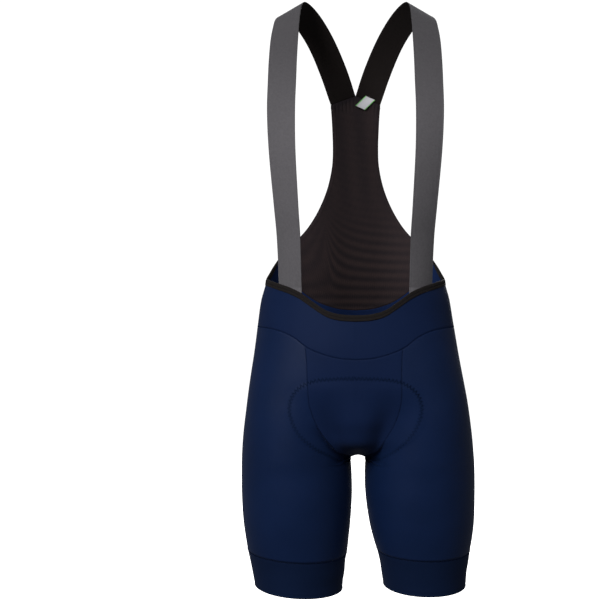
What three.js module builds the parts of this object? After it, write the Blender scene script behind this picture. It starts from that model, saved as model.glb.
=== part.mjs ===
import * as THREE from "three";

// Cycling bib shorts, standing hollow as they are worn. Millimetres, +Z up, front towards -Y.
// +X is the wearer's left. The origin lies midway between the highest points of the two straps,
// where the wearer's shoulders hold them up.

// Walls and seams
const WALL = 1.2; // knitted leg and yoke cloth
const MESH_WALL = 1.0;
const TRIM_PROUD = 0.5; // the binding stands this far outside the cloth
const TRIM_WALL = 2.2;
const TRIM_HEIGHT = 9;
const TRIM_TIP_HEIGHT = 3; // what is left of it at the horn
const SEAM_GAP = 0.3; // pieces keep this distance where they are sewn together
const SHARPEST_CORNER = 0.08; // twice the squared sine of half the sharpest corner that is drawn in fully

// Straps
const STRAP_WIDTH = 42;
const STRAP_WALL = 1.6;
const STRAP_DEPTH = TRIM_WALL - TRIM_PROUD + 1.3; // outer face of the strap below the cloth's outside
const STRAP_TAIL_Z = -463; // the strap is sewn in behind the yoke down to here

// Crotch and legs
const CROTCH_Z = -675;
const ARCH_DEPTH = 10; // height over which the gap between the thighs opens
const CLOSED_TURN = 0.1; // how far round each thigh the closing of that gap reaches
const DIP_REACH = 70; // levels dip beside the crotch, up to this far above and below it
const FRONT_RISE = 60; // height over which the front bowl turns upright
const BACK_RISE = 120;
const BOWL_POWER = 2.2;
const BOWL_TURN = 0.2; // how far round from the middle line the bowl reaches
const HIP_RISE = 110; // height over which the thigh's oval eases into the hips elsewhere
const SQUARE_POWER = 1.3; // added to an oval's power of 2 where it is squarest
const SQUARE_SHIFT = 0.25; // keeps its points beside those of the thigh's oval
const CENTRE_ROUNDING = 0.04; // softens the fold on the middle line above the crotch
const ROUNDED_TURN = 0.15; // and reaches this far from it
const BAND_HEIGHT = 53;
const HEM_FRONT_SLOPE = 0.1; // the hem drops towards the front
const HEM_LEFT = { level: -870, tilt: -0.02 }; // tilt is its sideways slope
const HEM_RIGHT = { level: -872.5, tilt: -0.06 };

// Label sewn over the join of the straps and the mesh
const LABEL = { width: 17, length: 22.5, wall: 0.8, x: 15.7, y: 90.2, z: -137, turn: -48 };

// The outline of the whole garment by height: the sideways lean of its middle line, half its width,
// its depth in front of and behind the side line, and how square its oval is, from 0 to 1.
const BODY = readTable(["lean", "outer", "front", "back", "square"], [
  [-890, 9.5, 157.5, 66, 70, 1],
  [-868, 9, 158.3, 66, 70, 1],
  [-850, 8.6, 160.5, 68, 72, 1],
  [-835, 8.2, 163.3, 70, 74, 1],
  [-820, 7.6, 166, 73, 77, 1],
  [-800, 6.6, 169.5, 77, 80, 1],
  [-775, 5.6, 172.6, 82, 84, 1],
  [-735, 4.6, 174.5, 88, 90, 1],
  [-700, 4, 174.5, 93, 96, 1],
  [-675, 3.6, 173.4, 96, 100, 1],
  [-640, 3.2, 170.3, 101, 112, 0.85],
  [-600, 2.6, 165, 106, 119, 0.6],
  [-560, 1.8, 158.8, 109, 117, 0.38],
  [-520, 1, 152.3, 109, 110, 0.2],
  [-480, 0.4, 146.3, 106, 103, 0.1],
  [-445, 0, 141, 102, 98, 0.03],
  [-416, 0, 133.5, 99, 94, 0],
  [-384, 0, 132.5, 96, 92, 0],
  [-330, 0, 132.5, 92, 92, 0],
  [-240, 0, 136, 90, 96, 0],
  [-110, 0, 142, 90, 96, 0],
]);

// The thighs by height: where the inner side lies, the depth in front of and behind the side line,
// and how much wider the wearer's right thigh is than the middle of the two.
const THIGH = readTable(["inner", "front", "back", "spread"], [
  [-890, 30.5, 65, 69, 2],
  [-868, 30, 66, 70, 2],
  [-850, 27.4, 68, 72, 2.5],
  [-835, 25.7, 70, 74, 2.3],
  [-820, 22.6, 73, 77, 2.4],
  [-800, 18.4, 77, 80, 1.5],
  [-775, 14.2, 82, 83, 0.8],
  [-735, 10.2, 88, 88, 0.2],
  [-700, 10, 91, 92, 0],
  [-675, 11.5, 94, 96, 0],
  [-600, 11.5, 100, 106, 0],
]);

// Seams. The share across the front or back is 0 on the middle line and 1 at the side.
const WAIST_EDGE = readTable(["z"], [
  [0, -467], [0.15, -465.5], [0.29, -460], [0.44, -447], [0.57, -435], [0.7, -427], [0.84, -421], [1, -414],
]);
const YOKE_SEAM = readTable(["z"], [
  [0, -530], [0.15, -528], [0.34, -521], [0.48, -512.5], [0.6, -500], [0.72, -491.5], [0.85, -486.5], [1, -484],
]);
const CENTRE_SEAM = readTable(["x"], [
  [-675, 0], [-674, 5.5], [-671, 12], [-665, 20], [-650, 35], [-637, 46], [-622, 56], [-606, 62.5],
  [-590, 66], [-565, 67.3], [-535, 68], [-505, 70.5],
]);
// The back seam of the yoke from the side (0) to the middle of the back (1).
const BACK_SEAM = readTable(["z"], [[0, -484], [0.3, -486], [0.65, -494], [1, -501]]);
// The bound edge from the side up to the horn, where binding and mesh meet, and then the mesh's lower seam.
const HORN = { turn: 0.651, z: -383 };
const BOUND_EDGE = readTable(["z"], [[0.5, -414], [0.56, -405.5], [0.61, -394], [HORN.turn, HORN.z]]);
const MESH_SEAM = readTable(["z"], [
  [HORN.turn, HORN.z], [0.683, -397], [0.725, -412], [0.778, -428], [0.866, -449], [0.94, -459], [1, -461.5],
]);
const MESH_EDGE = readTable(["half"], [
  [-462, 134], [-383, 116], [-366, 102], [-350, 87.5], [-330, 71.8], [-303, 56.7], [-270, 44], [-237, 37],
  [-209, 35.6], [-171, 36.8], [-138, 38.8],
]);

// One strap, from its tail behind the yoke up the chest, over the shoulder and down to the mesh.
// yaw turns its width forward at the inner edge, slope lifts the inner edge, bow is its crown.
const STRAP = readTable(["x", "y", "z", "yaw", "slope", "bow"], [
  [0, 95.5, 0, STRAP_TAIL_Z, 34, 0, 3.2],
  [1, 95.5, -66.5, -419, 36, 0, 3.7],
  [2, 97.3, -80.5, -358, 34, 0, 1.8],
  [3, 100.4, -90, -310, 31, 0, 1.2],
  [4, 105.3, -98, -231, 22, 0, 0.8],
  [5, 106.6, -97, -174, 14, 0, 0.6],
  [6, 105.6, -88, -129.5, 11, 0, 0.5],
  [7, 105, -75, -97, 10, 3, 0.5],
  [8, 104, -58, -66, 10, 7, 0.5],
  [9, 102.6, -39, -40.5, 12, 15, 0.5],
  [10, 100, -18, -18.5, 14, 22, 0.5],
  [11, 94, 7, -7, 18, 28, 0.5],
  [12, 82.5, 31, -10, 21, 29, 0.5],
  [13, 67.5, 52, -25, 21, 26, 0.5],
  [14, 50.8, 69, -52, 17, 22.5, 0.4],
  [15, 33.5, 84, -91.5, 6, 21.5, 0.3],
  [16, 19.6, 94.5, -131.5, -9, 22.5, 0],
]);
const LAST_STATION = 16;
const EVEN_CLIMB = 0.4; // from this share of its height on, the mesh's columns are evenly spaced
const STRAP_ON_WALL = 1; // up to this station the strap lies against the inside of the cloth
const STRAP_CLEAR = 1.2; // from this station it follows the table alone

// How finely the surfaces are cut
const CENTRE_COLUMNS = 4; // half of the centre panel
const FRONT_COLUMNS = 9; // centre panel's seam to the side
const HORN_COLUMNS = 3; // side to horn
const BACK_COLUMNS = 8; // horn to the middle of the back
const LEVEL_Z = -612; // above this the rows bend from level to the yoke's seam
const CROTCH_RISES = [0, 1.2, 4, 9, 17, 27, 42];
const CROTCH_DROPS = [25, 10, 5.6, 2.5, 0.7];

/** Reads a table of rows, each a key and its named columns, at any key as a smooth curve. */
function readTable(names, rows) {
  const slope = (column, i) => {
    const before = rows[Math.max(i - 1, 0)];
    const after = rows[Math.min(i + 1, rows.length - 1)];
    return (after[column] - before[column]) / (after[0] - before[0]);
  };
  return (key) => {
    let i = 0;
    while (i < rows.length - 2 && key > rows[i + 1][0]) i += 1;
    const width = rows[i + 1][0] - rows[i][0];
    const s = Math.min(Math.max((key - rows[i][0]) / width, 0), 1);
    const values = {};
    names.forEach((name, k) => {
      const rise = rows[i + 1][k + 1] - rows[i][k + 1];
      const start = slope(k + 1, i) * width;
      const end = slope(k + 1, i + 1) * width;
      const bend = s * (1 - s) * ((1 - s) * (start - rise) - s * (end - rise));
      values[name] = rows[i][k + 1] + s * rise + bend;
    });
    return values;
  };
}

function mix(a, b, share) {
  return a + (b - a) * share;
}

/** Eases from 0 to 1. */
function ease(share) {
  const s = Math.min(Math.max(share, 0), 1);
  return s * s * (3 - 2 * s);
}

/** A quarter of a rounded arch: 0 at the foot, quickly rising, 1 from the given height on. */
function arch(height, reach, power) {
  const rest = 1 - Math.min(Math.max(height / reach, 0), 1);
  return Math.sqrt(1 - rest ** power);
}

/**
 * The outside of the cloth. side is 1 for the wearer's left and -1 for the right. turn runs from 0 on
 * the front middle line, or on the inner leg below the crotch, over 0.5 at the side to 1 at the back.
 * Above the crotch the thigh's oval changes into half of the body's oval. A level lies at its own
 * height, but dips beside the crotch, so that levels leave the crotch point sideways over its arch.
 */
function skin(side, turn, level) {
  const fromMiddle = Math.min(turn, 1 - turn);
  const rise = level - CROTCH_Z;
  const open = (Math.PI / 2) * Math.min(fromMiddle / CLOSED_TURN, 1);
  const z = level - ARCH_DEPTH * (1 - Math.cos(open)) * ease(1 - Math.abs(rise) / DIP_REACH);
  const body = BODY(z);
  const thigh = THIGH(z);
  const spread = -side * thigh.spread;
  const inner = thigh.inner - spread;
  const outer = body.outer + spread;
  const atFront = turn < 0.5;
  const bowl = mix(arch(rise, FRONT_RISE, BOWL_POWER), arch(rise, BACK_RISE, BOWL_POWER), turn);
  const share = mix(bowl, ease(rise / HIP_RISE), ease(fromMiddle / BOWL_TURN));
  const rounding = CENTRE_ROUNDING * Math.min(bowl / 0.3, 1);
  const lost = fromMiddle + rounding - Math.hypot(fromMiddle, rounding);
  const softened = fromMiddle - lost * (1 - ease(fromMiddle / ROUNDED_TURN));
  const closed = inner * (1 - arch(-rise, ARCH_DEPTH, 2)) * (1 - Math.sin(open));
  const thighX = (outer + inner) / 2 - ((outer - inner) / 2) * Math.cos(2 * Math.PI * turn) - closed;
  const thighY = Math.sin(2 * Math.PI * softened) * (atFront ? -thigh.front : thigh.back);
  const power = 2 / (2 + SQUARE_POWER * body.square);
  const quarter = 2 * fromMiddle - SQUARE_SHIFT * body.square * Math.sin(2 * Math.PI * fromMiddle);
  const bodyX = outer * Math.sin((Math.PI / 2) * quarter) ** power;
  const bodyY = Math.max(Math.cos((Math.PI / 2) * quarter), 0) ** power * (atFront ? -body.front : body.back);
  const x = body.lean + side * mix(thighX, bodyX, share);
  return new THREE.Vector3(x, mix(thighY, bodyY, share), z);
}

/** The outward direction of the cloth, from small steps round it and up it. */
function outward(side, turn, z) {
  const step = { turn: 0.002, z: 0.3 };
  const ahead = skin(side, Math.min(turn + step.turn, 1), z);
  const round = ahead.sub(skin(side, Math.max(turn - step.turn, 0), z));
  const up = skin(side, turn, z + step.z).sub(skin(side, turn, z - step.z));
  return round.cross(up).multiplyScalar(side).normalize();
}

/** The turn at which the cloth of one side lies x from the middle line, between the turns given. */
function turnAt(x, z, from, to) {
  let low = from;
  let high = to;
  for (let step = 0; step < 40; step += 1) {
    const middle = (low + high) / 2;
    if (skin(1, middle, z).x - BODY(z).lean < x) low = middle;
    else high = middle;
  }
  return (low + high) / 2;
}

/** The turn of the centre panel's side seam. Below the crotch it is the inner leg. */
function centreTurn(z) {
  if (z <= CROTCH_Z) return 0;
  return turnAt(CENTRE_SEAM(z).x, z, 0, 0.4);
}

/** A grid of points with their outward directions, as one sheet of triangles seen from outside. */
function sheet(rows, columns, place, flipped = false) {
  const points = [];
  const directions = [];
  for (let i = 0; i <= rows; i += 1) {
    for (let j = 0; j <= columns; j += 1) {
      const { point, direction } = place(i, j);
      points.push(point);
      directions.push(direction);
    }
  }
  const triangles = [];
  for (let i = 0; i < rows; i += 1) {
    for (let j = 0; j < columns; j += 1) {
      const a = i * (columns + 1) + j;
      const [b, c, d] = [a + 1, a + columns + 2, a + columns + 1];
      const quad = (i + j) % 2 ? [[a, b, c], [a, c, d]] : [[a, b, d], [b, c, d]];
      quad.forEach((t) => triangles.push(flipped ? [t[0], t[2], t[1]] : t));
    }
  }
  return { points, directions, triangles };
}

/** Joins a sheet's points where they coincide, and drops triangles that have no area. */
function joinPoints({ points, directions, triangles }) {
  const seen = new Map();
  const joined = { points: [], directions: [], triangles: [] };
  const index = points.map((point, k) => {
    const key = point.toArray().map((value) => value.toFixed(3)).join();
    if (!seen.has(key)) {
      seen.set(key, joined.points.length);
      joined.points.push(point.clone());
      joined.directions.push(new THREE.Vector3());
    }
    joined.directions[seen.get(key)].add(directions[k]);
    return seen.get(key);
  });
  triangles.forEach((t) => {
    const [a, b, c] = t.map((k) => index[k]);
    if (a !== b && b !== c && c !== a) joined.triangles.push([a, b, c]);
  });
  joined.directions.forEach((direction) => direction.normalize());
  return joined;
}

/** The sheet's edge as pairs of points, each once, with the sheet on the left seen from outside. */
function edgesOf(triangles) {
  const open = new Map();
  triangles.forEach((t) => {
    t.forEach((a, k) => {
      const b = t[(k + 1) % 3];
      if (!open.delete(`${b} ${a}`)) open.set(`${a} ${b}`, [a, b]);
    });
  });
  return [...open.values()];
}

/** Draws the sheet's edge in by half the seam gap, so that neighbours stay apart. */
function trimEdge({ points, directions, triangles }) {
  const inward = new Map();
  edgesOf(triangles).forEach(([a, b]) => {
    const along = points[b].clone().sub(points[a]).normalize();
    [a, b].forEach((k) => {
      const step = directions[k].clone().cross(along).normalize();
      inward.set(k, [...(inward.get(k) ?? []), step]);
    });
  });
  inward.forEach((steps, k) => {
    const sum = steps.reduce((total, step) => total.add(step), new THREE.Vector3());
    const reach = Math.max(sum.lengthSq() / steps.length, SHARPEST_CORNER);
    points[k].addScaledVector(sum, SEAM_GAP / 2 / reach);
  });
}

/** A closed wall: the sheet moved out, the sheet moved in and turned over, and a rim between. */
function wall(surface, out, depth) {
  trimEdge(surface);
  const { points, directions, triangles } = surface;
  const count = points.length;
  const outside = points.map((point, k) => point.clone().addScaledVector(directions[k], out));
  const inside = points.map((point, k) => point.clone().addScaledVector(directions[k], -depth));
  const faces = [...triangles, ...triangles.map(([a, b, c]) => [a + count, c + count, b + count])];
  edgesOf(triangles).forEach(([a, b]) => {
    faces.push([b, a, a + count], [b, a + count, b + count]);
  });
  const geometry = new THREE.BufferGeometry();
  const corners = [...outside, ...inside].flatMap((point) => point.toArray());
  geometry.setAttribute("position", new THREE.Float32BufferAttribute(corners, 3));
  geometry.setIndex(faces.flat());
  geometry.computeVertexNormals();
  return geometry;
}

const material = {
  navy: new THREE.MeshStandardMaterial({ color: 0x16244a, roughness: 0.62, side: THREE.DoubleSide }),
  elastic: new THREE.MeshStandardMaterial({ color: 0x5a585c, roughness: 0.85 }),
  mesh: new THREE.MeshStandardMaterial({ color: 0x241f22, roughness: 0.8 }),
  trim: new THREE.MeshStandardMaterial({ color: 0x1d1a1c, roughness: 0.75 }),
  label: new THREE.MeshStandardMaterial({ color: 0xc9cdc6, roughness: 0.6 }),
};

const shorts = new THREE.Group();

function addPiece(name, geometry, cloth) {
  const piece = new THREE.Mesh(geometry, cloth.clone());
  piece.name = name;
  shorts.add(piece);
}

const onSkin = (side, turn, z) => ({ point: skin(side, turn, z), direction: outward(side, turn, z) });
const acrossFront = (turn) => Math.sin(Math.PI * turn);

// The columns that all pieces share, so that neighbours' edges follow the same points.
const YOKE_CORNER_Z = yokeCornerHeight();
const YOKE_CORNER_TURN = centreTurn(YOKE_CORNER_Z);
const CENTRE_TURNS = columnsBetween(0, YOKE_CORNER_TURN, CENTRE_COLUMNS);
const SIDE_TURNS = columnsBetween(YOKE_CORNER_TURN, 0.5, FRONT_COLUMNS);
const FRONT_TURNS = [...CENTRE_TURNS, ...SIDE_TURNS.slice(1)];
const HORN_TURNS = columnsBetween(0.5, HORN.turn, HORN_COLUMNS);
const MESH_TURNS = columnsBetween(HORN.turn, 1, BACK_COLUMNS);
const BACK_TURNS = [...HORN_TURNS, ...MESH_TURNS.slice(1)];

/** The height at which the centre panel's side seam meets the yoke's lower seam. */
function yokeCornerHeight() {
  let z = yokeSeam(0);
  for (let step = 0; step < 30; step += 1) z = yokeSeam(centreTurn(z));
  return z;
}

/** Lifts a row of the panels under the yoke, so that the top row follows the yoke's seam. */
function underYoke(edgeZ, topTurn) {
  const bend = Math.max(0, (edgeZ - LEVEL_Z) / (YOKE_CORNER_Z - LEVEL_Z));
  return edgeZ + bend * (yokeSeam(topTurn) - YOKE_CORNER_Z);
}

function columnsBetween(from, to, count) {
  return Array.from({ length: count + 1 }, (_, k) => mix(from, to, k / count));
}

/** Signed turns for a piece that lies across the middle line: the wearer's right is negative. */
function bothSides(turns) {
  return [...turns.slice(1).reverse().map((turn) => -turn), ...turns];
}

/** The height of the yoke's lower seam, all the way round. */
function yokeSeam(turn) {
  if (turn <= 0.5) return YOKE_SEAM(acrossFront(turn)).z;
  return BACK_SEAM(2 * turn - 1).z;
}

/** The height of the upper edge: the bound front edge, the bound rise to the horn and the mesh's seam. */
function upperEdge(turn) {
  if (turn <= 0.5) return WAIST_EDGE(acrossFront(turn)).z;
  if (turn <= HORN.turn) return BOUND_EDGE(turn).z;
  return MESH_SEAM(turn).z;
}

/** The binding's lower edge. It narrows to the horn. */
function underTrim(turn) {
  if (turn > HORN.turn) return upperEdge(turn);
  const lastColumn = HORN.turn - HORN_TURNS[HORN_COLUMNS - 1];
  const closing = Math.min(1, (HORN.turn - turn) / lastColumn);
  return upperEdge(turn) - mix(TRIM_TIP_HEIGHT, TRIM_HEIGHT, closing);
}

/** The hem's plane, lower at the front, and tilted a little to the wearer's left on each leg. */
function hem(side, turn) {
  const { level, tilt } = side > 0 ? HEM_LEFT : HEM_RIGHT;
  const place = skin(side, turn, level);
  const centre = BODY(level).lean + (side * (BODY(level).outer + THIGH(level).inner)) / 2;
  return level + tilt * (place.x - centre) + HEM_FRONT_SLOPE * place.y;
}

/** The yoke over the belly, from side to side, under the binding. */
function frontYoke() {
  const turns = bothSides(FRONT_TURNS);
  const rows = 3;
  return sheet(rows, turns.length - 1, (i, j) => {
    const turn = Math.abs(turns[j]);
    const z = mix(yokeSeam(turn), underTrim(turn), i / rows);
    return onSkin(Math.sign(turns[j]) || 1, turn, z);
  });
}

/** The back of the yoke, from side to side, with the mesh and the binding above it. */
function backYoke() {
  const turns = bothSides(BACK_TURNS.map((turn) => 1 - turn).reverse());
  const rows = 4;
  return sheet(rows, turns.length - 1, (i, j) => {
    const turn = 1 - Math.abs(turns[j]);
    const z = mix(yokeSeam(turn), underTrim(turn), i / rows);
    return onSkin(Math.sign(turns[j]) || 1, turn, z);
  }, true);
}

/** The binding, from horn to horn round the front. */
function waistTrim() {
  const turns = bothSides([...FRONT_TURNS, ...HORN_TURNS.slice(1)]);
  return sheet(1, turns.length - 1, (i, j) => {
    const turn = Math.abs(turns[j]);
    const z = mix(underTrim(turn), upperEdge(turn), i);
    return onSkin(Math.sign(turns[j]) || 1, turn, z);
  });
}

// The heights that the leg's rows and the centre panel's rows share between crotch and yoke.
const CENTRE_ROWS_Z = [
  ...CROTCH_RISES.map((rise) => CROTCH_Z + rise),
  LEVEL_Z, -590, -565, -540,
  YOKE_CORNER_Z,
];

/** The centre panel, from the yoke down to its tip under the crotch. */
function frontCentre() {
  return joinPoints(sheet(CENTRE_ROWS_Z.length - 1, 2 * CENTRE_COLUMNS, (i, j) => {
    const edgeZ = CENTRE_ROWS_Z[i];
    const share = (j - CENTRE_COLUMNS) / CENTRE_COLUMNS;
    const turn = Math.abs(share) * centreTurn(edgeZ);
    return onSkin(Math.sign(share) || 1, turn, underYoke(edgeZ, Math.abs(share) * YOKE_CORNER_TURN));
  }));
}

/** One leg: round the thigh below the crotch, and above it from the centre panel to the back seam. */
function leg(side) {
  const bottomRows = 5;
  const columns = FRONT_COLUMNS + HORN_COLUMNS + BACK_COLUMNS;
  const levels = [...CROTCH_DROPS.map((drop) => CROTCH_Z - drop), ...CENTRE_ROWS_Z];
  const rows = bottomRows + levels.length - 1;
  return sheet(rows, columns, (i, j) => {
    const edgeZ = levels[Math.max(i - bottomRows, 0)];
    const turn = j <= FRONT_COLUMNS
      ? mix(centreTurn(edgeZ), 0.5, j / FRONT_COLUMNS)
      : BACK_TURNS[j - FRONT_COLUMNS];
    const z = i < bottomRows
      ? mix(hem(side, turn) + BAND_HEIGHT, edgeZ, i / bottomRows)
      : underYoke(edgeZ, j <= FRONT_COLUMNS ? SIDE_TURNS[j] : turn);
    return onSkin(side, turn, z);
  }, side < 0);
}

/** The gripper band at the end of a leg. */
function band(side) {
  const rows = 3;
  const turns = [...columnsBetween(0, 0.5, FRONT_COLUMNS), ...BACK_TURNS.slice(1)];
  return sheet(rows, turns.length - 1, (i, j) => {
    const z = hem(side, turns[j]) + (BAND_HEIGHT * i) / rows;
    return onSkin(side, turns[j], z);
  }, side < 0);
}

/** The mesh back: a wide foot on the yoke that narrows up the spine to the straps. */
function backMesh() {
  const feet = bothSides(MESH_TURNS.map((turn) => 1 - turn).reverse());
  const rows = 13;
  const columns = feet.length - 1;
  return sheet(rows, columns, (i, j) => {
    const side = Math.sign(feet[j]) || 1;
    const footTurn = 1 - Math.abs(feet[j]);
    const foot = { x: skin(1, footTurn, MESH_SEAM(footTurn).z).x, z: MESH_SEAM(footTurn).z };
    const share = Math.abs(j - columns / 2) / (columns / 2);
    const climb = i / rows;
    const end = strapPoint(side, LAST_STATION, 1 - 2 * share);
    if (share === 0) end.point.x = 0;
    if (i === rows) return end;
    const z = mix(foot.z, end.point.z, climb);
    const across = mix(foot.x / MESH_EDGE(foot.z).half, share, Math.min(1, climb / EVEN_CLIMB));
    const x = across * MESH_EDGE(z).half;
    const turn = i === 0 ? footTurn : 1 - Math.asin(x / BODY(z).outer) / Math.PI;
    return onSkin(side, turn, z);
  }, true);
}

/** Where a strap's middle line lies, station by station. Its tail lies against the cloth's inside. */
function strapMiddle(station) {
  const at = STRAP(station);
  const middle = new THREE.Vector3(at.x, at.y, at.z);
  const away = (station - STRAP_ON_WALL) / (STRAP_CLEAR - STRAP_ON_WALL);
  const close = 1 - Math.min(Math.max(away, 0), 1);
  if (close > 0) {
    const turn = turnAt(at.x, at.z, 0, 0.5);
    const inside = skin(1, turn, at.z).addScaledVector(outward(1, turn, at.z), -STRAP_DEPTH);
    middle.lerp(inside.setZ(at.z), close);
  }
  return middle;
}

/** A point of a strap's outer face. share runs from -1 at its outer edge to 1 at its inner edge. */
function strapPoint(side, station, share) {
  const at = STRAP(station);
  const step = 0.05;
  const along = strapMiddle(Math.min(station + step, LAST_STATION));
  along.sub(strapMiddle(Math.max(station - step, 0))).normalize();
  const yaw = THREE.MathUtils.degToRad(at.yaw);
  const slope = THREE.MathUtils.degToRad(at.slope);
  const inner = new THREE.Vector3(-Math.cos(yaw), -Math.sin(yaw), 0).multiplyScalar(Math.cos(slope));
  inner.z = Math.sin(slope);
  inner.addScaledVector(along, -inner.dot(along)).normalize();
  const out = along.clone().cross(inner);
  const point = strapMiddle(station).addScaledVector(inner, (share * STRAP_WIDTH) / 2);
  point.addScaledVector(out, -at.bow * share ** 2);
  const direction = out.addScaledVector(inner, (share * 4 * at.bow) / STRAP_WIDTH).normalize();
  const mirror = new THREE.Vector3(side, 1, 1);
  return { point: point.multiply(mirror), direction: direction.multiply(mirror) };
}

/** One strap as a ribbon, crowned across its width, carried along its middle line. */
function strap(side) {
  const rows = 30;
  const columns = 4;
  const place = (i, j) => strapPoint(side, (LAST_STATION * i) / rows, (2 * j) / columns - 1);
  return sheet(rows, columns, place, side > 0);
}

/** The label: a small plain rectangle, turned on the join of straps and mesh, facing the front. */
function label() {
  const turn = THREE.MathUtils.degToRad(LABEL.turn);
  return sheet(2, 2, (i, j) => {
    const across = LABEL.width * (j / 2 - 0.5);
    const up = LABEL.length * (i / 2 - 0.5);
    const x = LABEL.x + across * Math.cos(turn) - up * Math.sin(turn);
    const z = LABEL.z + across * Math.sin(turn) + up * Math.cos(turn);
    return { point: new THREE.Vector3(x, LABEL.y, z), direction: new THREE.Vector3(0, -1, 0) };
  });
}

addPiece("front_yoke", wall(frontYoke(), 0, WALL), material.navy);
addPiece("back_yoke", wall(backYoke(), 0, WALL), material.navy);
addPiece("waist_trim", wall(waistTrim(), TRIM_PROUD, TRIM_WALL - TRIM_PROUD), material.trim);
addPiece("front_centre", wall(frontCentre(), 0, WALL), material.navy);
[["right", -1], ["left", 1]].forEach(([name, side]) => {
  addPiece(`leg_${name}`, wall(leg(side), 0, WALL), material.navy);
  addPiece(`band_${name}`, wall(band(side), 0, WALL), material.navy);
  addPiece(`strap_${name}`, wall(strap(side), 0, STRAP_WALL), material.elastic);
});
addPiece("back_mesh", wall(backMesh(), 0, MESH_WALL), material.mesh);
addPiece("label", wall(label(), 0, LABEL.wall), material.label);

export default shorts;
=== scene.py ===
# %% [markdown]
# # Cycling bib shorts
#
# A pair of bib shorts is sewn from a few stretch panels. Here it stands as it is worn, hollow, so every
# panel is a thin sheet that follows one smooth skin. The CAD model brings the frame: places, sizes and
# the body that each piece moves with. This script dresses each CAD solid with finer cloth and stitching.

import bpy
import numpy as np
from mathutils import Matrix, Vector


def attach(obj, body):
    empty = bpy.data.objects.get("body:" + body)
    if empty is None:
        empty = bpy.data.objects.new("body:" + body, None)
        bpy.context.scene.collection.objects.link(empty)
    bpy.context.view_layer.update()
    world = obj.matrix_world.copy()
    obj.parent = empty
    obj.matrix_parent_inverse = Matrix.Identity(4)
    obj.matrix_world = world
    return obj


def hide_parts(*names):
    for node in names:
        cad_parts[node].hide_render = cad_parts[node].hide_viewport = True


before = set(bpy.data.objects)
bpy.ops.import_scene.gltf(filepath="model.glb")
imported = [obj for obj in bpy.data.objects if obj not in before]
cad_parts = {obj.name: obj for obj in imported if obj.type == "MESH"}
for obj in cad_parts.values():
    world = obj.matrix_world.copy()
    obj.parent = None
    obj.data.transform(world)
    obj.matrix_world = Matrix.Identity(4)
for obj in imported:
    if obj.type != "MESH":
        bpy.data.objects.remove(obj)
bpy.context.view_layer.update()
MM = 0.001
print("nodes:", sorted(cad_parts))

# %% [markdown]
# The garment's form is kept in tables by height, in millimetres from the tops of the straps. A table is
# read as a smooth curve: a cubic between the rows passes through every measured value, without corners.

# %% Read a table as a smooth curve
def read_table(*rows):
    """Each row is a key and its values. Between two keys a value follows the cubic that has, at both
    ends, the slope of the straight line between the neighbours of that end."""
    rows = np.array(rows, float)
    keys, values = rows[:, 0], rows[:, 1:]
    before = np.maximum(np.arange(len(keys)) - 1, 0)
    after = np.minimum(np.arange(len(keys)) + 1, len(keys) - 1)
    slopes = (values[after] - values[before]) / (keys[after] - keys[before])[:, None]

    def read(key):
        key = np.asarray(key, float)
        i = np.clip(np.searchsorted(keys, key) - 1, 0, len(keys) - 2)
        width = (keys[i + 1] - keys[i])[..., None]
        share = np.clip((key - keys[i])[..., None] / width, 0, 1)
        rise = values[i + 1] - values[i]
        start, end = slopes[i] * width - rise, slopes[i + 1] * width - rise
        bend = share * (1 - share) * ((1 - share) * start - share * end)
        return np.moveaxis(values[i] + share * rise + bend, -1, 0)

    return read


# By height: sideways lean of the middle line, half width, depth in front and behind, squareness.
BODY = read_table(
    [-890, 9.5, 157.5, 66, 70, 1], [-868, 9, 158.3, 66, 70, 1], [-850, 8.6, 160.5, 68, 72, 1],
    [-835, 8.2, 163.3, 70, 74, 1], [-820, 7.6, 166, 73, 77, 1], [-800, 6.6, 169.5, 77, 80, 1],
    [-775, 5.6, 172.6, 82, 84, 1], [-735, 4.6, 174.5, 88, 90, 1], [-700, 4, 174.5, 93, 96, 1],
    [-675, 3.6, 173.4, 96, 100, 1], [-640, 3.2, 170.3, 101, 112, 0.85], [-600, 2.6, 165, 106, 119, 0.6],
    [-560, 1.8, 158.8, 109, 117, 0.38], [-520, 1, 152.3, 109, 110, 0.2], [-480, 0.4, 146.3, 106, 103, 0.1],
    [-445, 0, 141, 102, 98, 0.03], [-416, 0, 133.5, 99, 94, 0], [-384, 0, 132.5, 96, 92, 0],
    [-330, 0, 132.5, 92, 92, 0], [-240, 0, 136, 90, 96, 0], [-110, 0, 142, 90, 96, 0],
)
# By height: inner side of a thigh, depth in front and behind, extra width of the wearer's right one.
THIGH = read_table(
    [-890, 30.5, 65, 69, 2], [-868, 30, 66, 70, 2], [-850, 27.4, 68, 72, 2.5], [-835, 25.7, 70, 74, 2.3],
    [-820, 22.6, 73, 77, 2.4], [-800, 18.4, 77, 80, 1.5], [-775, 14.2, 82, 83, 0.8],
    [-735, 10.2, 88, 88, 0.2], [-700, 10, 91, 92, 0], [-675, 11.5, 94, 96, 0], [-600, 11.5, 100, 106, 0],
)
print("half width at the hips:", round(float(BODY(-560)[1]), 1), "mm")

# %% [markdown]
# The skin is the outside of the cloth as a function of the turn, from the front middle line round the
# side to the back, and of the level. Below the crotch each thigh is an oval of its own; above it, both
# change into the halves of one body. Panels of one function share their edges exactly.

# %% The skin of the garment
CROTCH_Z = -675
ARCH_DEPTH, CLOSED_TURN, DIP_REACH = 10, 0.1, 70
FRONT_RISE, BACK_RISE, BOWL_POWER, BOWL_TURN, HIP_RISE = 60, 120, 2.2, 0.2, 110
SQUARE_POWER, SQUARE_SHIFT = 1.3, 0.25
CENTRE_ROUNDING, ROUNDED_TURN, ROUNDED_BOWL = 0.04, 0.15, 0.3
TURN_STEP, LEVEL_STEP = 0.002, 0.3  # the small steps that measure a direction


def mix(a, b, share):
    return a + (b - a) * share


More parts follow.
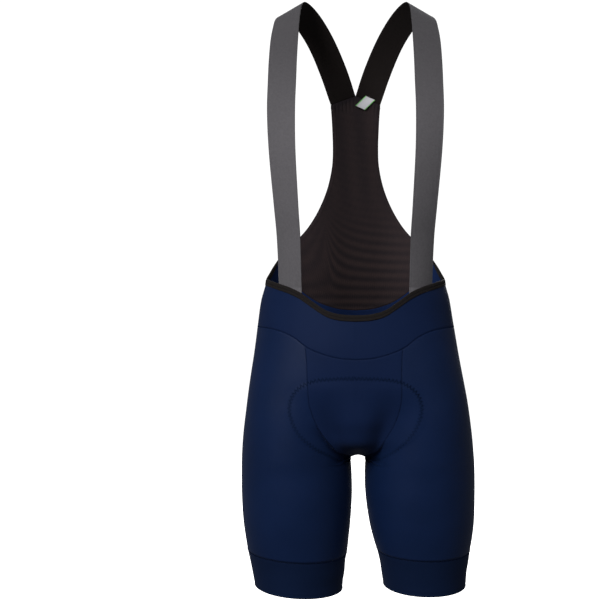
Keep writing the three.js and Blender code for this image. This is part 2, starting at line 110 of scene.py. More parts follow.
def ease(share):
    """Rises from 0 to 1 and is level at both ends: three times the square less twice the cube."""
    s = np.clip(share, 0, 1)
    return s * s * (3 - 2 * s)


def arch(height, reach, power):
    """A quarter of a rounded arch: the root of one less the remaining share to a power."""
    return np.sqrt(1 - (1 - np.clip(height / reach, 0, 1)) ** power)


def skin(side, turn, level):
    """Points of the cloth's outside in millimetres, for arrays of side (1 is the wearer's left, -1 the
    right), turn (0 front or inner leg, 0.5 side, 1 back) and level. A thigh is an ellipse in the turn;
    the body is an ellipse with raised powers; their mix grows from the crotch to the hips."""
    side, turn, level = np.broadcast_arrays(side, np.asarray(turn, float), np.asarray(level, float))
    from_middle = np.minimum(turn, 1 - turn)
    rise = level - CROTCH_Z
    opening = np.pi / 2 * np.minimum(from_middle / CLOSED_TURN, 1)
    z = level - ARCH_DEPTH * (1 - np.cos(opening)) * ease(1 - np.abs(rise) / DIP_REACH)
    lean, outer, front, back, square = BODY(z)
    inner, thigh_front, thigh_back, spread = THIGH(z)
    inner, outer = inner + side * spread, outer - side * spread
    bowl = mix(arch(rise, FRONT_RISE, BOWL_POWER), arch(rise, BACK_RISE, BOWL_POWER), turn)
    share = mix(bowl, ease(rise / HIP_RISE), ease(from_middle / BOWL_TURN))
    rounding = CENTRE_ROUNDING * np.minimum(bowl / ROUNDED_BOWL, 1)
    lost = from_middle + rounding - np.hypot(from_middle, rounding)
    softened = from_middle - lost * (1 - ease(from_middle / ROUNDED_TURN))
    closed = inner * (1 - arch(-rise, ARCH_DEPTH, 2)) * (1 - np.sin(opening))
    thigh_x = (outer + inner) / 2 - (outer - inner) / 2 * np.cos(2 * np.pi * turn) - closed
    thigh_y = np.sin(2 * np.pi * softened) * np.where(turn < 0.5, -thigh_front, thigh_back)
    power = 2 / (2 + SQUARE_POWER * square)
    quarter = 2 * from_middle - SQUARE_SHIFT * square * np.sin(2 * np.pi * from_middle)
    body_x = outer * np.maximum(np.sin(np.pi / 2 * quarter), 0) ** power
    body_y = np.maximum(np.cos(np.pi / 2 * quarter), 0) ** power * np.where(turn < 0.5, -front, back)
    return np.stack([lean + side * mix(thigh_x, body_x, share), mix(thigh_y, body_y, share), z], axis=-1)


def unit(vectors):
    return vectors / np.maximum(np.linalg.norm(vectors, axis=-1, keepdims=True), 1e-9)


def outward(side, turn, level):
    """The direction out of the cloth: the cross product of a small step round it and one up it."""
    ahead, behind = np.minimum(turn + TURN_STEP, 1), np.maximum(turn - TURN_STEP, 0)
    round_it = skin(side, ahead, level) - skin(side, behind, level)
    up_it = skin(side, turn, level + LEVEL_STEP) - skin(side, turn, level - LEVEL_STEP)
    return unit(np.cross(round_it, up_it) * np.broadcast_to(side, np.shape(round_it)[:-1])[..., None])


def turn_at(x, level, low=0.0, high=0.5):
    """The turn whose point lies x from the middle line, by halving the span between two turns."""
    x, level = np.broadcast_arrays(np.asarray(x, float), np.asarray(level, float))
    low, high = np.full(level.shape, low), np.full(level.shape, high)
    for _ in range(40):
        middle = (low + high) / 2
        short = skin(1, middle, level)[..., 0] - BODY(level)[0] < x
        low, high = np.where(short, middle, low), np.where(short, high, middle)
    return (low + high) / 2


print("crotch point:", skin(1, 0.0, float(CROTCH_Z)).round(1), "mm")

# %% [markdown]
# The seams are curves on that skin. Each is one measured table, which every panel, stitch line and
# crease that follows it reads.

# %% The seams
WAIST_EDGE = read_table(
    [0, -467], [0.15, -465.5], [0.29, -460], [0.44, -447], [0.57, -435], [0.7, -427], [0.84, -421],
    [1, -414])
YOKE_SEAM = read_table(
    [0, -530], [0.15, -528], [0.34, -521], [0.48, -512.5], [0.6, -500], [0.72, -491.5], [0.85, -486.5],
    [1, -484])
CENTRE_SEAM = read_table(
    [-675, 0], [-674, 5.5], [-671, 12], [-665, 20], [-650, 35], [-637, 46], [-622, 56], [-606, 62.5],
    [-590, 66], [-565, 67.3], [-535, 68], [-505, 70.5])
BACK_SEAM = read_table([0, -484], [0.3, -486], [0.65, -494], [1, -501])
HORN_TURN, HORN_Z = 0.651, -383
BOUND_EDGE = read_table([0.5, -414], [0.56, -405.5], [0.61, -394], [HORN_TURN, HORN_Z])
MESH_SEAM = read_table(
    [HORN_TURN, HORN_Z], [0.683, -397], [0.725, -412], [0.778, -428], [0.866, -449], [0.94, -459],
    [1, -461.5])
MESH_EDGE = read_table(
    [-462, 134], [-383, 116], [-366, 102], [-350, 87.5], [-330, 71.8], [-303, 56.7], [-270, 44], [-237, 37],
    [-209, 35.6], [-171, 36.8], [-138, 38.8])
TRIM_HEIGHT, TRIM_TIP_HEIGHT, TRIM_TAPER = 9, 3, 0.05
BAND_HEIGHT, LEVEL_Z = 53, -612
SEAM_SHIFT, SHIFT_RISE, CENTRE_TURNS = 3.2, 40, 0.4
HEMS = {1: (-870.0, -0.02), -1: (-872.5, -0.06)}  # each leg's level and sideways tilt
HEM_RISE = 0.1  # towards the back


def yoke_seam(turn):
    front = YOKE_SEAM(np.sin(np.pi * np.minimum(turn, 0.5)))[0]
    return np.where(turn <= 0.5, front, BACK_SEAM(2 * np.maximum(turn, 0.5) - 1)[0])


def upper_edge(turn):
    front = WAIST_EDGE(np.sin(np.pi * np.minimum(turn, 0.5)))[0]
    back = np.where(turn <= HORN_TURN, BOUND_EDGE(turn)[0], MESH_SEAM(turn)[0])
    return np.where(turn <= 0.5, front, back)


def under_trim(turn):
    """The level of the binding's lower edge, which closes up towards the horn."""
    closing = np.clip((HORN_TURN - turn) / TRIM_TAPER, 0, 1)
    height = mix(TRIM_TIP_HEIGHT, TRIM_HEIGHT, closing)
    return upper_edge(turn) - np.where(turn <= HORN_TURN, height, 0)


def seam_reach(side, level):
    """How far the centre panel's side seam lies from the middle line: a little to the wearer's right."""
    above = np.maximum(level, CROTCH_Z)
    return CENTRE_SEAM(above)[0] - np.asarray(side) * SEAM_SHIFT * ease((above - CROTCH_Z) / SHIFT_RISE)


def centre_turn(side, level):
    """The turn of the centre panel's side seam; below the crotch it is the inner leg."""
    above = np.maximum(level, CROTCH_Z)
    turn = turn_at(seam_reach(side, above), above, 0.0, CENTRE_TURNS)
    return np.where(np.asarray(level) <= CROTCH_Z, 0.0, turn)


def hem(side, turn):
    """The hem's plane, lower in front, tilted a little sideways on each leg."""
    level, tilt = HEMS[side]
    place = skin(side, turn, level)
    lean, outer = BODY(level)[:2]
    centre = lean + side * (outer + THIGH(level)[0]) / 2
    return level + tilt * (place[..., 0] - centre) + HEM_RISE * place[..., 1]


CORNER_Z = float(yoke_seam(0.0))
for _ in range(30):
    CORNER_Z = float(yoke_seam(turn_at(CENTRE_SEAM(CORNER_Z)[0], CORNER_Z, 0.0, CENTRE_TURNS)))
CORNER_TURN = {side: float(centre_turn(side, CORNER_Z)) for side in (-1, 1)}


def under_yoke(edge_level, top_turn):
    """Bends a level row up to the yoke's seam, in proportion to its height above LEVEL_Z."""
    bend = np.maximum(0, (edge_level - LEVEL_Z) / (CORNER_Z - LEVEL_Z))
    return edge_level + bend * (yoke_seam(top_turn) - CORNER_Z)


print("the centre panel meets the yoke at", round(CORNER_Z, 1), "mm")

# %% [markdown]
# Stretch cloth on a full form lies smooth. What relief there is comes from sewing: seams sink a little,
# the pad lifts the seat by under a millimetre and pulls in at its stitches, and the bulge of the centre
# panel folds against the thighs. Cloth simulation would blur such small forms, so soft ridges and
# troughs make them.

# %% The relief of the cloth
# Depths, heights and widths in millimetres. Pairs hold the wearer's right side, then the left.
SEAM_SINK, YOKE_SINK, SINK_WIDTH = 0.22, 0.15, 1.6
FOLD_DEPTHS, FOLD_TOPS, FOLD_FADE, FOLD_STEP, FOLD_REACH = (7.5, 6.0), (-620, -640), 26, 1.0, 9
EDGE_RISE, EDGE_WIDTH, EDGE_STEP = 1.6, 12, 1.5
BULGE_RISE, BULGE_Z, BULGE_HEIGHT, BULGE_WIDTH = 6.0, -650, 11, 30
PAD_RISE, PAD_SINK, SINK_REACH, PAD_CORNER = 0.7, 0.12, 4.5, 60
UNEVENNESS = 0.25
# The stitched outline of the pad on the front: half its width by height.
PAD_TOP = -556.5
PAD_EDGE = read_table(
    [-690, 22], [-680, 34], [-670, 46], [-658, 67], [-643, 88.5], [-623, 99], [-606, 101.5], [-594, 99.5],
    [-580, 94], [-568, 82], [-562, 70], [PAD_TOP, 50])


def hump(distance, width):
    """A bell: e to the minus square of the distance in widths."""
    return np.exp(-((distance / width) ** 2))


def profile(distance, bells):
    """Bells added up, each with a height, a place and a width."""
    return sum(height * hump(distance - place, width) for height, place, width in bells)


def relief(side, turn, level):
    """Millimetres to move a point of the skin outwards: troughs at the seams, the fold beside the bulge,
    the pad and the faint unevenness of a tight knit, added up."""
    point = skin(side, turn, level)
    x = np.abs(point[..., 0] - BODY(level)[0])
    z = point[..., 2]
    front = turn < 0.5
    from_seam = x - seam_reach(side, np.minimum(level, -505))
    on_seam = np.where(front & (level > CROTCH_Z) & (level < CORNER_Z), 1.0, 0.0)
    seams = -SEAM_SINK * hump(from_seam, SINK_WIDTH) * on_seam
    seams = seams - YOKE_SINK * hump(level - yoke_seam(turn), SINK_WIDTH)
    right = np.asarray(side) < 0
    low = ease((np.where(right, *FOLD_TOPS) - level) / FOLD_FADE) * ease((level - CROTCH_Z) / 2) * front
    beyond = np.maximum(from_seam, 0)
    fold = -np.where(right, *FOLD_DEPTHS) * low
    fold = fold * (1 - np.exp(-beyond / FOLD_STEP)) * np.exp(-beyond / FOLD_REACH)
    over = hump(np.minimum(from_seam, 0), EDGE_WIDTH) * hump(beyond, EDGE_STEP)
    bulge = BULGE_RISE * hump(z - BULGE_Z, BULGE_HEIGHT) * hump(x, BULGE_WIDTH) * front
    bulge = EDGE_RISE * low * over + bulge
    pad_x = x + np.asarray(side) * SEAM_SHIFT * front
    inside = PAD_EDGE(np.clip(z, -690, PAD_TOP))[0] - pad_x
    pad = PAD_RISE * ease(inside / 20 + 0.3) * ease((PAD_TOP - z) / 18) * ease((z + 672) / 24)
    stitched = -PAD_SINK * hump(inside, SINK_REACH) * ease((z + 668) / 14) * (z < PAD_TOP)
    stitched = stitched - PAD_SINK * hump(z - PAD_TOP, SINK_REACH) * ease((PAD_CORNER - pad_x) / 12)
    uneven = UNEVENNESS * np.sin(0.047 * z + 9 * turn) * np.sin(14 * turn + 0.021 * z + side)
    return seams + fold + bulge + pad + stitched + uneven


print("pad outline: widest", float(2 * PAD_EDGE(-606)[0]), "mm")

# %% [markdown]
# Every panel becomes a mesh in the same way: a grid of points, faces from whole index arrays, and a UV
# map with each point's place on the flat cloth in metres, for the grain. Where a panel closes round a
# thigh its doubled points are merged. Solidify then gives the sheet its thickness, inwards.

# %% Turn grids of points into sheets of cloth
import bmesh

MERGE_DISTANCE = 0.00002


def grid_faces(rows, columns):
    """Quads of a grid, row by row: corner, next along the row, next row's next, next row's."""
    start = (np.arange(rows - 1)[:, None] * columns + np.arange(columns - 1)).ravel()
    return np.stack([start, start + 1, start + columns + 1, start + columns], axis=1)


def mesh_object(name, points, faces, uv=None):
    """A smooth-shaded piece from points in millimetres and faces of point numbers. Its UV layer holds,
    for each face corner, the pair of the corner's point."""
    mesh = bpy.data.meshes.new(name)
    faces = faces.tolist() if isinstance(faces, np.ndarray) else faces
    mesh.from_pydata((np.reshape(points, (-1, 3)) * MM).tolist(), [], faces)
    if uv is not None:
        corner = np.empty(len(mesh.loops), np.int32)
        mesh.loops.foreach_get("vertex_index", corner)
        layer = mesh.uv_layers.new(name="cloth")
        layer.data.foreach_set("uv", np.reshape(uv, (-1, 2))[corner].ravel())
    mesh.polygons.foreach_set("use_smooth", np.ones(len(mesh.polygons), bool))
    piece = bpy.data.objects.new(name, mesh)
    bpy.context.collection.objects.link(piece)
    return piece


def flat_lengths(points):
    """UV in metres: the mean distance walked along the rows, and the mean distance walked up them."""
    across = np.linalg.norm(np.diff(points, axis=1), axis=-1).mean(axis=0)
    up = np.linalg.norm(np.diff(points, axis=0), axis=-1).mean(axis=1)
    u, v = np.concatenate([[0], np.cumsum(across)]), np.concatenate([[0], np.cumsum(up)])
    return np.stack(np.broadcast_arrays(u[None, :], v[:, None]), axis=-1) * MM


def sheet_of_cloth(name, points, thickness, facing, materials, inner=0):
    """A grid of points as a sheet, turned so that its faces look along facing at the middle point, with
    a thickness in millimetres. Inner is the number of the material on its inside."""
    rows, columns = points.shape[:2]
    piece = mesh_object(name, points, grid_faces(rows, columns), flat_lengths(points))
    shape = bmesh.new()
    shape.from_mesh(piece.data)
    bmesh.ops.remove_doubles(shape, verts=shape.verts, dist=MERGE_DISTANCE)
    row, column = rows // 2, columns // 2
    along, up = points[row, column + 1] - points[row, column], points[row + 1, column] - points[row, column]
    if np.dot(np.cross(along, up), facing[row, column]) < 0:
        bmesh.ops.reverse_faces(shape, faces=shape.faces)
    shape.to_mesh(piece.data)
    shape.free()
    for material in materials:
        piece.data.materials.append(material)
    wall = piece.modifiers.new("thickness", "SOLIDIFY")
    wall.thickness, wall.offset = thickness * MM, -1
    wall.material_offset = wall.material_offset_rim = inner
    return piece


print("sheet helpers ready")

# %% [markdown]
# The real cloth is a fine warp knit: smooth and dark navy to the eye, with a faint grey sheen where it
# turns away, and up close with loops in columns. Two crossed waves in the cloth's own UV metres give the
# loops as bump and as a slight change of colour, a large soft noise keeps the colour from being flat,
# and the shader's sheen greys the edges. The legs, the yoke and the bands differ in colour. The yoke's
# inside is paler again: painted light on a side that lies in shade, and in part the cloth's paler back.

# %% The knit
SHEEN_ROUGHNESS, KNIT_BUMP, KNIT_STRENGTH = 0.45, 0.00012, 0.4
BANDS_PER_UNIT = 0.314  # a wave node has one band per pi / 10 of its input
NODE_STEP, NODE_ROW = 190, 3600  # where nodes stand in the editor


def node(tree, kind, **settings):
    """Adds a node, right of the last one, and sets its plain properties or unlinked inputs by name."""
    made = tree.nodes.new(kind)
    made.location = (NODE_STEP * len(tree.nodes) - NODE_ROW, 0)
    for key, value in settings.items():
        name = key.replace("_", " ")
        if name.title() in made.inputs:
            made.inputs[name.title()].default_value = value
        else:
            setattr(made, key, value)
    return made


def new_material(name, roughness, sheen, sheen_tint, specular):
    """A material, its node tree, and its Principled shader's own sockets, set to these values."""
    material = bpy.data.materials.new(name)
    material.use_nodes = True
    sockets = material.node_tree.nodes["Principled BSDF"].inputs
    values = {"Roughness": roughness, "Specular IOR Level": specular, "Sheen Weight": sheen,
              "Sheen Roughness": SHEEN_ROUGHNESS, "Sheen Tint": (*sheen_tint, 1)}
    for socket, value in values.items():
        sockets[socket].default_value = value
    return material, material.node_tree, sockets


def waves(tree, pitch, angle, distortion=0.0):
    """Stripes in the cloth's UV, pitch metres apart, turned by angle in radians."""
    place = node(tree, "ShaderNodeTexCoord")
    turned = node(tree, "ShaderNodeMapping")
    turned.inputs["Rotation"].default_value[2] = angle
    stripes = node(tree, "ShaderNodeTexWave", bands_direction="X", wave_profile="SIN",
                   scale=BANDS_PER_UNIT / pitch, distortion=distortion)
    tree.links.new(place.outputs["UV"], turned.inputs["Vector"])
    tree.links.new(turned.outputs["Vector"], stripes.inputs["Vector"])
    return stripes.outputs["Fac"]


def blend_values(tree, kind, *values):
    """One number from two or three sockets or plain numbers."""
    sum_node = node(tree, "ShaderNodeMath", operation=kind)
    for socket, value in zip(sum_node.inputs, values):
        if isinstance(value, (int, float)):
            socket.default_value = value
        else:
            tree.links.new(value, socket)
    return sum_node.outputs[0]


def crossed_waves(tree, pitches, angles, distortion=0.0):
    """Two stripe patterns multiplied: high only where both are."""
    one, two = waves(tree, pitches[0], angles[0]), waves(tree, pitches[1], angles[1], distortion)
    return blend_values(tree, "MULTIPLY", one, two)


def colour_ramp(tree, factor, dark, light, start=0.0, end=1.0):
    ramp = node(tree, "ShaderNodeValToRGB")
    for stop, colour, position in zip(ramp.color_ramp.elements, (dark, light), (start, end)):
        stop.color, stop.position = (*colour, 1), position
    tree.links.new(factor, ramp.inputs["Fac"])
    return ramp.outputs["Color"]


def soft_noise(tree, scale, detail=2.0):
    """Slow noise in Object coordinates, scale spots to the metre."""
    place = node(tree, "ShaderNodeTexCoord")
    cloudy = node(tree, "ShaderNodeTexNoise", scale=scale, detail=detail)
    tree.links.new(place.outputs["Object"], cloudy.inputs["Vector"])
    return cloudy.outputs["Fac"]


def colour_and_bump(tree, sockets, tone, height, depth, strength):
    """Gives the shader its colour, and a bump of that height pattern, depth in metres."""
    bump = node(tree, "ShaderNodeBump", strength=strength, distance=depth)
    tree.links.new(height, bump.inputs["Height"])
    tree.links.new(bump.outputs["Normal"], sockets["Normal"])
    tree.links.new(tone, sockets["Base Color"])


def knit(name, dark, light, roughness, sheen, specular, loop=0.0009):
    """Loops are the product of two crossed waves; their height and the slow noise pick the colour."""
    material, tree, sockets = new_material(name, roughness, sheen, (0.55, 0.62, 0.85), specular)
    loops = crossed_waves(tree, (loop, loop * 0.8), (0.0, np.pi / 2))
    share = blend_values(tree, "MULTIPLY_ADD", loops, 0.35, soft_noise(tree, 14))
    tone = colour_ramp(tree, share, dark, light, 0.25, 0.95)
    colour_and_bump(tree, sockets, tone, loops, KNIT_BUMP, KNIT_STRENGTH)
    return material


leg_knit = knit("leg_knit", (0.0024, 0.0097, 0.039), (0.0038, 0.0130, 0.052), 0.5, 0.03, 0.11)
yoke_knit = knit("yoke_knit", (0.0040, 0.0106, 0.039), (0.0054, 0.0138, 0.050), 0.6, 0.04, 0.05)
# The yoke's inside is a paler knit: painted light on a side that lies in shade, and in part the cloth's
# paler back.
yoke_inside_painted_light = knit("yoke_inside_painted_light", (0.0060, 0.0150, 0.056), (0.0080, 0.0195, 0.072), 0.7, 0.04, 0.05)
band_knit = knit("band_knit", (0.0030, 0.0082, 0.028), (0.0042, 0.0108, 0.037), 0.65, 0.04, 0.04, 0.0012)
print("knits:", leg_knit.name, yoke_knit.name, yoke_inside_painted_light.name, band_knit.name)

# %% [markdown]
# A strap is woven elastic with fine ribs along it, grey on the face and black on the back. Over the
# shoulder its grey is painted darker towards the top: painted shade. The mesh is an open net of fine
# black yarn with a brown tint. Two layers of it lie on each other, so their holes drift in and out of
# step, and wide paler bands appear. Fine crossed waves draw the holes. The bands are an attribute of the
# piece, because only its own formula can bend them as the cloth bends.

# %% Elastic, net, binding, label and thread
# Painted shade: between these heights a strap's grey is darkened, most at the top.
PAINTED_SHADE_HEIGHTS = (-0.235, -0.06)  # metres: the heights where a strap's grey starts to deepen, and ends
NET_PITCHES, NET_ANGLES = (0.0016, 0.0016), (0.0, np.pi / 2)
DRIFTED_PITCHES, DRIFTED_ANGLES = (0.00165, 0.00172), (0.10, np.pi / 2 + 0.13)


def painted_shade_above(tree, colour, low, high, share):
    """Painted shade: the colour scaled down smoothly from all of it at height low to share of it at high.
    """
    place, parts = node(tree, "ShaderNodeTexCoord"), node(tree, "ShaderNodeSeparateXYZ")
    fall = node(tree, "ShaderNodeMapRange", interpolation_type="SMOOTHSTEP",
                from_min=low, from_max=high, to_min=1.0, to_max=share)
    scaled = node(tree, "ShaderNodeVectorMath", operation="SCALE")
    tree.links.new(place.outputs["Object"], parts.inputs["Vector"])
    tree.links.new(parts.outputs["Z"], fall.inputs["Value"])
    tree.links.new(colour, scaled.inputs["Vector"])
    tree.links.new(fall.outputs["Result"], scaled.inputs["Scale"])
    return scaled.outputs["Vector"]


def elastic(name, dark, light, rib=0.0014, sheen=0.15, specular=0.2, painted_shade_share=1.0):
    """Ribs across picks, with a fine grain. The last argument is the share of the colour left at the top:
    painted shade over the shoulder.
    """
    material, tree, sockets = new_material(name, 0.85, sheen, (0.7, 0.7, 0.75), specular)
    height = crossed_waves(tree, (rib, rib * 0.6), (0.0, np.pi / 2), distortion=0.4)
    grain = blend_values(tree, "MULTIPLY", soft_noise(tree, 320, detail=3), 0.6)
    share = blend_values(tree, "MULTIPLY_ADD", height, 0.5, grain)
    tone = colour_ramp(tree, share, dark, light, 0.1, 0.8)
    # Painted shade: the grey darkens towards the top of the strap, over the shoulder.
    if painted_shade_share < 1:
        tone = painted_shade_above(tree, tone, *PAINTED_SHADE_HEIGHTS, painted_shade_share)
    colour_and_bump(tree, sockets, tone, height, 0.0003, 0.6)
    return material


def net(name):
    """Two nets, one turned a few degrees: dark where both have holes, paler where yarn fills them. The
    piece's own attribute adds the wide bands."""
    material, tree, sockets = new_material(name, 0.8, 0.1, (0.7, 0.6, 0.6), 0.15)
    one = crossed_waves(tree, NET_PITCHES, NET_ANGLES)
    two = crossed_waves(tree, DRIFTED_PITCHES, DRIFTED_ANGLES)
    yarn = blend_values(tree, "MAXIMUM", one, two)
    bands = node(tree, "ShaderNodeAttribute", attribute_name="bands")
    slow = blend_values(tree, "MULTIPLY", bands.outputs["Fac"], 0.65)
    share = blend_values(tree, "MULTIPLY_ADD", yarn, 0.35, slow)
    dark, light = (0.0130, 0.0100, 0.0130), (0.043, 0.0275, 0.0270)
    tone = colour_ramp(tree, share, dark, light, 0.1, 0.95)
    colour_and_bump(tree, sockets, tone, yarn, 0.0003, 0.7)
    return material


def plain_weave(name, dark, light, pitch=0.0005, roughness=0.7, sheen=0.0, specular=0.05):
    """Tape and thread: two slanting waves added, which also pick the colour."""
    material, tree, sockets = new_material(name, roughness, sheen, (0.8, 0.8, 0.8), specular)
    height = blend_values(tree, "ADD", waves(tree, pitch, np.pi / 4), waves(tree, pitch, -np.pi / 4))
    tone = colour_ramp(tree, blend_values(tree, "MULTIPLY", height, 0.5), dark, light)
    colour_and_bump(tree, sockets, tone, height, 0.0002, 0.5)
    return material


# The strap's face keeps 0.6 of its grey at the top: painted shade over the shoulder.
strap_face = elastic("strap_face", (0.080, 0.076, 0.083), (0.121, 0.115, 0.124), painted_shade_share=0.6)
strap_back = elastic("strap_back", (0.0075, 0.0054, 0.0051), (0.0125, 0.0096, 0.0090), 0.0014, 0.05, 0.1)
mesh_net = net("mesh_net")
binding = elastic("binding", (0.0070, 0.0058, 0.0058), (0.0135, 0.0110, 0.0105), 0.0016, 0.04, 0.1)
label_tape = plain_weave("label_tape", (0.56, 0.56, 0.60), (0.72, 0.72, 0.75), 0.0006, 0.7, 0.1, 0.2)
label_edge = plain_weave("label_edge", (0.15, 0.46, 0.12), (0.25, 0.66, 0.20), 0.0006, 0.7, 0.1, 0.2)
thread = plain_weave("thread", (0.0034, 0.0085, 0.031), (0.0050, 0.0115, 0.042))
pad_thread = plain_weave("pad_thread", (0.0020, 0.0080, 0.028), (0.0032, 0.0110, 0.036), roughness=0.8)
dark_thread = plain_weave("dark_thread", (0.006, 0.0055, 0.006), (0.011, 0.01, 0.01), 0.0005, 0.6, 0.0, 0.1)
print("materials:", len(bpy.data.materials))

# %% [markdown]
# A leg panel goes round the thigh below the crotch; above it, it runs from the centre panel's seam over
# the hip to the seam down the middle of the seat. Its grid walks round in columns and up in levels,
# close together by the crotch, where the seam curves most.

# %% The leg panels
CROWDING = 1.5  # the power by which rows and columns crowd at the crotch and the centre seam
DROPS = 6.2 * np.linspace(0, 1, 14) ** CROWDING


def climbing(low_rows, high_rows):
    """Levels from the crotch to the yoke's corner: crowded over the first 45 mm, then even."""
    low = CROTCH_Z + 45 * np.linspace(0, 1, low_rows) ** CROWDING
    return np.concatenate([low, np.linspace(-628, CORNER_Z, high_rows)])


LEVELS = np.concatenate([
    np.linspace(-700, CROTCH_Z - 7.5, 8), CROTCH_Z - DROPS[:0:-1], climbing(30, 52)])
THICKNESS = 0.9
ROOT = "root"
GAP_WIDENING, GAP_Z, GAP_HEIGHT, GAP_TURN, GAP_START = 6.5, -677.5, 3.4, 0.07, 1.5


def widened(side, turn, level):
    """Millimetres that the inner legs stand further apart just under the crotch, where the gap's top is
    flat: a bell in level and turn, and nothing at the crotch itself."""
    near = hump(level - GAP_Z, GAP_HEIGHT) * hump(np.minimum(turn, 1 - turn), GAP_TURN)
    return side * GAP_WIDENING * near * ease((CROTCH_Z - level) / GAP_START)


def raised_skin(side, turn, level, height):
    """Points of the skin moved outwards by millimetres, and their outward directions."""
    out = outward(side, turn, level)
    return skin(side, turn, level) + out * np.asarray(height)[..., None], out


def on_cloth(side, turn, level):
    return raised_skin(side, turn, level, relief(side, turn, level))


def leg_points(side, front_columns, back_columns, low_rows):
    """Rows: from the band's seam, which is parallel to the hem, to the level of -700, then the levels,
    bent up to the yoke's seam. Columns: from the centre panel's seam to the side, then to the back."""
    edge = np.concatenate([np.full(low_rows, LEVELS[0]), LEVELS])
    along_front = np.linspace(0, 1, front_columns) ** CROWDING
    back = np.linspace(0.5, 1, back_columns)[1:]
    front = mix(centre_turn(side, edge)[:, None], 0.5, along_front[None, :])
    turn = np.concatenate([front, np.broadcast_to(back, (len(edge), len(back)))], axis=1)
    top_turn = np.concatenate([mix(CORNER_TURN[side], 0.5, along_front), back])
    level = under_yoke(edge[:, None], top_turn[None, :])
    seam = hem(side, turn[:low_rows]) + BAND_HEIGHT
    level[:low_rows] = mix(seam, LEVELS[0], np.linspace(0, 1, low_rows, endpoint=False)[:, None])
    return turn, level


def dress(piece, node_name):
    """Attaches a finished sheet to the root body, and hides the CAD solid that it stands for."""
    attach(piece, ROOT)
    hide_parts(node_name)


def panel(name, side, turn, level, materials, flat, area):
    """A panel of knit that follows the skin and its relief; a second material lies on its inside."""
    side, turn, level = np.broadcast_arrays(side, turn, level)
    points, facing = on_cloth(side, turn, level)
    points[..., 0] += widened(side, turn, level)
    cloth = sheet_of_cloth(f"{name}_cloth", points, THICKNESS, facing, materials, len(materials) - 1)
    dress(cloth, name)


SIDES = (-1, "right"), (1, "left")  # the wearer's
for side, name in SIDES:
    panel(f"leg_{name}", side, *leg_points(side, 84, 96, 40), [leg_knit], (0.52, 0.36), 0.152)

# %% [markdown]
# The centre panel is a tongue from the yoke to a tip under the crotch, where its columns run together
# and the doubled points are merged.

# %% The centre panel
edge_level = climbing(34, 46)[:, None]
across = np.linspace(-1, 1, 97)
side = np.where(across < 0, -1, 1)
turn = np.abs(across)[None, :] * centre_turn(side[None, :], edge_level)
corner = np.where(across < 0, CORNER_TURN[-1], CORNER_TURN[1])
level = under_yoke(edge_level, (np.abs(across) * corner)[None, :])
panel("front_centre", side, turn, level, [yoke_knit], (0.16, 0.18), 0.02)

# %% [markdown]
# The yoke is the same knit cut across the belly, and a second piece across the small of the back. Their
# upper edges go up inside the folded binding and under the net.

# %% The yoke
TUCK, LEAST_TUCK = 4.0, 0.4  # millimetres inside the fold of the binding, and the share at the horn


def across_body(turns):
    """Signed turns into side and turn: the wearer's right is negative."""
    return np.where(turns < 0, -1, 1), np.abs(turns)


def across_back(turns):
    """The same from the middle of the back, where the turn is 1."""
    side, from_back = across_body(turns)
    return side, 1 - from_back


signed = np.linspace(-0.5, 0.5, 221)
side, turn = across_body(signed)
climb = np.linspace(0, 1, 30)[:, None]
level = mix(yoke_seam(turn), under_trim(turn) + TUCK, climb)
panel("front_yoke", side, turn, level, [yoke_knit], (0.42, 0.075), 0.025)

side, turn = across_back(signed)
tuck = np.where(turn <= HORN_TURN, TUCK * np.clip((HORN_TURN - turn) / TRIM_TAPER, LEAST_TUCK, 1), 0)
climb = np.linspace(0, 1, 34)[:, None]
level = mix(yoke_seam(turn), under_trim(turn) + tuck, climb)
# Its inside takes the paler knit: painted light.
panel("back_yoke", side, turn, level, [yoke_knit, yoke_inside_painted_light], (0.42, 0.10), 0.0252)

# %% [markdown]
# A gripper band holds the leg down. It is one tube, parallel to the hem, with a slight waist where it is
# sewn to the leg and a groove above its raw edge.

# %% The gripper bands
BAND_THICKNESS = 1.1
WAIST_AND_GROOVE = (-0.35, BAND_HEIGHT, 2.0), (-0.5, 3.5, 1.5)  # depth, place and width of each
height = BAND_HEIGHT * np.linspace(0, 1, 30)[:, None]
for side, name in SIDES:
    turn = np.linspace(0, 1, 200)[None, :]
    level = hem(side, turn) + height
    points, out = raised_skin(side, turn, level, profile(height, WAIST_AND_GROOVE))
    band = sheet_of_cloth(f"band_{name}_cloth", points, BAND_THICKNESS, out, [band_knit])
    dress(band, f"band_{name}")

# %% [markdown]
# The binding is a folded elastic tape: outside it is a dark rim with a groove where it is stitched, and
# it goes over the edge and down again inside. A profile of outward and upward distances, carried along
# the upper edge, makes the fold.

# %% The binding
FOLD = np.array([
    [0.7, -9], [1.0, -8.2], [1.05, -6.8], [1.0, -5.6], [0.55, -4.9], [1.0, -4.2], [1.05, -2.6],
    [1.0, -1.2], [0.7, -0.3], [0.0, 0.25], [-0.8, 0.3], [-1.5, -0.2], [-1.8, -1.2], [-1.8, -4.0],
    [-1.8, -8.6]])[:, :, None, None]
GROOVE, TAPE_THICKNESS = 4.9, 0.5
horn = np.linspace(0.5, HORN_TURN, 34)[1:]
side, turn = across_body(np.concatenate([-horn[::-1], np.linspace(-0.5, 0.5, 200), horn]))
rim = upper_edge(turn)
edge, out = skin(side, turn, rim), outward(side, turn, rim)
up = unit(edge - skin(side, turn, rim - TUCK))
height = (rim - under_trim(turn))[:, None] / TRIM_HEIGHT
points = edge + out * FOLD[:, 0] + up * (FOLD[:, 1] * height)
trim = sheet_of_cloth(
    "waist_trim_tape", points, TAPE_THICKNESS, np.broadcast_to(out, points.shape), [binding])
dress(trim, "waist_trim")

# %% [markdown]
# A strap runs from its tail behind the yoke, up the chest, over the shoulder and down to the net. It is
# a ribbon: a middle line through stations, and at each a turn and a lift of its width and a slight
# crown. The CAD solid has nearly the same stations; here the tail runs straighter.

